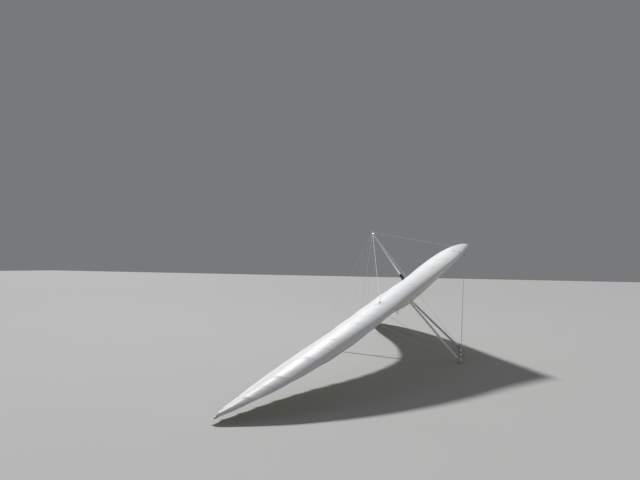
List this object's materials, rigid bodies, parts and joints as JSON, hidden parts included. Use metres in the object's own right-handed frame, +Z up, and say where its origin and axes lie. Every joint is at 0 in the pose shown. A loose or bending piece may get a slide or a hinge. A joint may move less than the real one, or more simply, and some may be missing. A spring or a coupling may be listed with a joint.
{
  "type": "hang glider",
  "caption": "Kingposted double-surface flex-wing hang glider, parked nose up on its base bar and keel tail, with stays, control frame and hang strap.",
  "frame": {"origin": "middle of the parked glider's bounding box, on the ground", "axes": "+Z up, +X towards the nose, +Y towards the left wing tip; the keel is pitched 34.36 degrees nose up"},
  "size_m": [2.8522, 9.911, 2.2012],
  "materials": {
    "sailcloth": "white woven polyester sailcloth, satin",
    "cone_cloth": "white film-faced cloth, semi-gloss",
    "tube_aluminium": "drawn and clear anodised",
    "stay_steel": "bare stainless wire and fittings",
    "black_plastic": "moulded, fine matt texture",
    "white_plastic": "moulded, satin",
    "cream_plastic": "moulded, satin",
    "webbing": "black woven webbing"
  },
  "bodies": {
    "airframe": {"sail_left": "sailcloth", "sail_right": "sailcloth", "nose_cone": "cone_cloth", "nose_plate": "tube_aluminium", "nose_catch": "stay_steel", "tip_cap_left": "cream_plastic", "tip_cap_right": "cream_plastic", "keel_tube": "tube_aluminium", "keel_tail_plug": "black_plastic", "keel_pocket": "sailcloth", "rear_wire_bracket": "stay_steel", "kingpost_tube": "tube_aluminium", "kingpost_base": "black_plastic", "kingpost_cap": "white_plastic", "apex_bracket": "tube_aluminium", "downtube_knuckle_left": "black_plastic", "downtube_knuckle_right": "black_plastic", "downtube_left": "tube_aluminium", "downtube_right": "tube_aluminium", "corner_fitting_left": "tube_aluminium", "corner_fitting_right": "tube_aluminium", "base_bar": "tube_aluminium", "top_front_wire_port": "white_plastic", "side_port_top_left": "white_plastic", "side_port_top_right": "white_plastic", "side_port_bottom_left": "white_plastic", "side_port_bottom_right": "white_plastic", "wire_top_front": "stay_steel", "wire_top_rear": "stay_steel", "wire_top_side_left": "stay_steel", "wire_top_side_right": "stay_steel", "wire_bottom_side_left": "stay_steel", "wire_bottom_side_right": "stay_steel", "wire_bottom_front_left": "stay_steel", "wire_bottom_front_right": "stay_steel", "wire_bottom_rear_left": "stay_steel", "wire_bottom_rear_right": "stay_steel"},
    "strap_band": {"hang_strap_band": "webbing"},
    "strap_loop": {"hang_loop": "webbing"}
  },
  "joints": [
    {"name": "strap_roll", "type": "hinge", "parent": "airframe", "child": "strap_band", "pos_m": [0.13582, 0, 1.07733], "axis": [0.8255, 0, 0.5644], "range_deg": [-22, 22]},
    {"name": "strap_swing", "type": "hinge", "parent": "strap_band", "child": "strap_loop", "pos_m": [0.18549, 0, 1.00468], "axis": [0, 1, 0], "range_deg": [-80, 45]}
  ]
}
